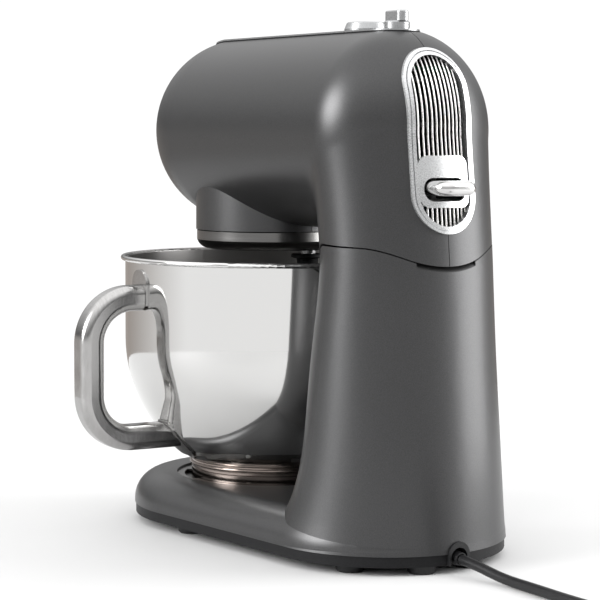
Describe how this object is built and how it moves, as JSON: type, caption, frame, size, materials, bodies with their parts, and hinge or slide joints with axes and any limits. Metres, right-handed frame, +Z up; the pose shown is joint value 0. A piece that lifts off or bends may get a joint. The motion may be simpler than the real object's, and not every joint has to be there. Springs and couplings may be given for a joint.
{
  "type": "stand mixer",
  "caption": "Tilt-head stand mixer with planetary whisk drive, polished steel bowl with side handle, rear grille with release lever.",
  "frame": {"origin": "bottom centre of the machine's bounding box without its lead, on the plane its feet stand on", "axes": "+X from the column towards the nose of the head, +Y towards the bowl's handle, +Z up"},
  "size_m": [0.6022, 0.2736, 0.3784],
  "materials": {
    "graphite_paint": "satin, fine metallic grain",
    "black_plastic": "matt",
    "black_rubber": "matt",
    "polished_steel": "mirror polished stainless steel",
    "brushed_steel": "brushed",
    "silver_plastic": "satin silver coating",
    "screw_steel": "zinc plated",
    "cast_aluminium": "as cast",
    "bronze": "sintered",
    "gear_steel": "machined",
    "gear_nylon": "matt",
    "laminations": "varnished",
    "copper": "bare",
    "carbon": "matt",
    "board_green": "lacquered"
  },
  "bodies": {
    "base": {"base_casting": "graphite_paint", "base_plate": "black_plastic", "rubber_feet": "black_rubber", "base_screws": "screw_steel", "bowl_clamp": "brushed_steel", "clamp_screws": "screw_steel", "hinge_pin": "gear_steel", "latch_strike": "screw_steel", "cord_grommet": "black_rubber", "strain_relief": "black_rubber", "power_cord": "black_rubber", "cord_coil": "black_rubber", "plug_body": "black_plastic", "plug_pins": "polished_steel"},
    "head": {"head_shell_left": "graphite_paint", "head_shell_right": "graphite_paint", "shell_screws": "screw_steel", "top_strip": "silver_plastic", "grille_frame": "silver_plastic", "grille_slats": "silver_plastic", "release_plate": "silver_plastic", "head_frame": "cast_aluminium", "frame_screws": "screw_steel", "hinge_bushes": "bronze", "gear_case": "cast_aluminium", "gear_cover": "cast_aluminium", "ring_gear": "gear_steel", "output_bearings": "gear_steel", "motor_bearings": "gear_steel", "motor_housing": "gear_steel", "motor_stator": "laminations", "motor_brushes": "carbon", "control_board": "board_green", "speed_encoder": "black_plastic", "lever_pin": "gear_steel", "lever_spring": "screw_steel"},
    "lever": {"release_lever": "polished_steel"},
    "dial": {"speed_dial": "silver_plastic"},
    "cap": {"outlet_cap": "silver_plastic"},
    "rotor": {"motor_shaft": "gear_steel", "motor_armature": "laminations", "commutator": "copper", "motor_pinion": "gear_steel", "cooling_fan": "black_plastic"},
    "idler": {"idler_shaft": "gear_steel", "idler_wheel": "gear_nylon", "idler_pinion": "gear_steel"},
    "planet": {"planet_hub": "brushed_steel", "output_shaft": "gear_steel", "main_gear": "gear_steel", "tool_bearing": "gear_steel"},
    "tool": {"planet_pinion": "gear_steel", "tool_shaft": "gear_steel", "drive_pin": "gear_steel", "whisk_collar": "black_plastic", "whisk_wires": "polished_steel"},
    "bowl": {"bowl_shell": "polished_steel", "bowl_foot": "polished_steel", "bowl_handle": "brushed_steel", "handle_pads": "brushed_steel"}
  },
  "joints": [
    {"name": "head_tilt", "type": "hinge", "parent": "base", "child": "head", "pos_m": [-0.1296, -0.02365, 0.149], "axis": [0, -1, 0], "range_deg": [0, 35]},
    {"name": "release_lever", "type": "hinge", "parent": "head", "child": "lever", "pos_m": [-0.1176, -0.02365, 0.258], "axis": [0, -1, 0], "range_deg": [0, 3.5], "stiffness_Nm_per_rad": 2, "springref_deg": -5.73},
    {"name": "speed_dial", "type": "hinge", "parent": "head", "child": "dial", "pos_m": [-0.0986, -0.02365, 0.37], "axis": [0, 0, 1], "range_deg": [-135, 135]},
    {"name": "outlet_cap", "type": "slide", "parent": "head", "child": "cap", "axis": [0, 0, 1], "range_m": [0, 0.02]},
    {"name": "planet_spin", "type": "hinge", "parent": "head", "child": "planet", "pos_m": [0.0604, -0.02365, 0.215], "axis": [0, 0, 1], "continuous": true},
    {"name": "tool_spin", "type": "hinge", "parent": "planet", "child": "tool", "pos_m": [0.03215, -0.03867, 0.215], "axis": [0, 0, 1], "continuous": true},
    {"name": "idler_spin", "type": "hinge", "parent": "head", "child": "idler", "pos_m": [0.0184, -0.02365, 0.25], "axis": [0, 0, 1], "continuous": true},
    {"name": "motor_spin", "type": "hinge", "parent": "head", "child": "rotor", "pos_m": [-0.0116, -0.02365, 0.29], "axis": [0, 0, 1], "continuous": true},
    {"name": "bowl_twist", "type": "hinge", "parent": "base", "child": "bowl", "pos_m": [0.0604, -0.02365, 0.035], "axis": [0, 0, 1], "range_deg": [0, 35]}
  ],
  "couplings": [
    {"joint": "tool_spin", "follows": "planet_spin", "ratio": -4.2},
    {"joint": "idler_spin", "follows": "planet_spin", "ratio": -6},
    {"joint": "motor_spin", "follows": "planet_spin", "ratio": 30}
  ]
}
